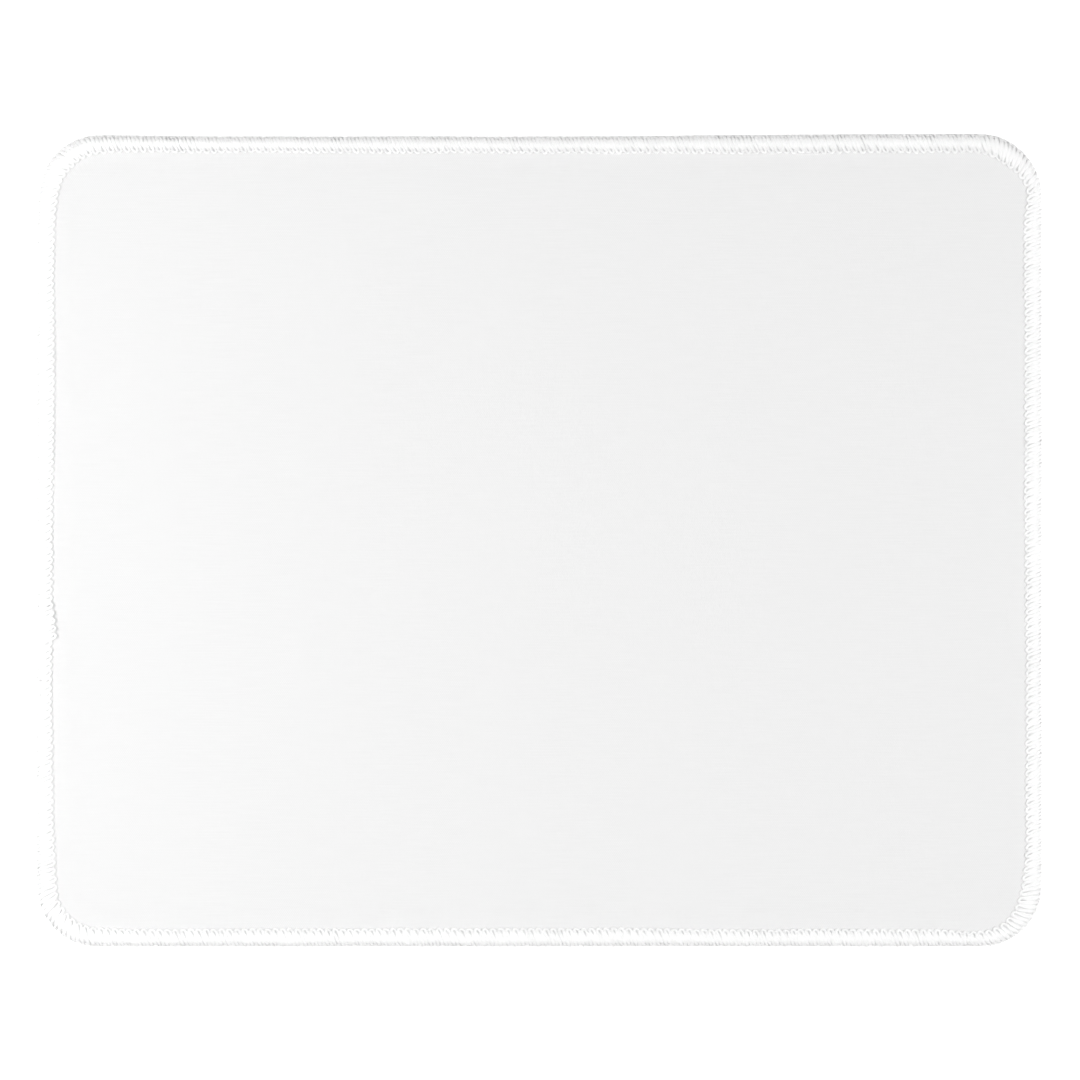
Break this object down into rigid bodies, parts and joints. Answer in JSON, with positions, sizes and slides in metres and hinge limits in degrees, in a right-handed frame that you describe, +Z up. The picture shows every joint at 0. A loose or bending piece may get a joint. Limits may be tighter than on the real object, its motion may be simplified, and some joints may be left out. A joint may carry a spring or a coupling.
{
  "type": "mouse pad",
  "caption": "Rounded rectangular desk pad of white cloth bonded to foam rubber, with an overlocked edge, for a computer mouse to glide on.",
  "frame": {"origin": "middle of the underside, on the desk", "axes": "+X along the longer side to the right, +Y towards the back, +Z up out of the working face"},
  "size_m": [0.26, 0.21, 0.0033],
  "materials": {
    "foam_rubber": "matt charcoal foam rubber with a fine moulded non-slip texture",
    "hot_melt_film": "milky hot-melt adhesive film, sealed inside",
    "polyester_cloth": "fine smooth white polyester weave",
    "polyester_thread": "bulky white multi-filament polyester, slightly glossy"
  },
  "bodies": {
    "root": {"foam_base": "foam_rubber", "bond_film": "hot_melt_film", "face_cloth": "polyester_cloth", "lower_looper_thread": "polyester_thread", "upper_looper_thread": "polyester_thread", "needle_thread": "polyester_thread"}
  },
  "joints": []
}
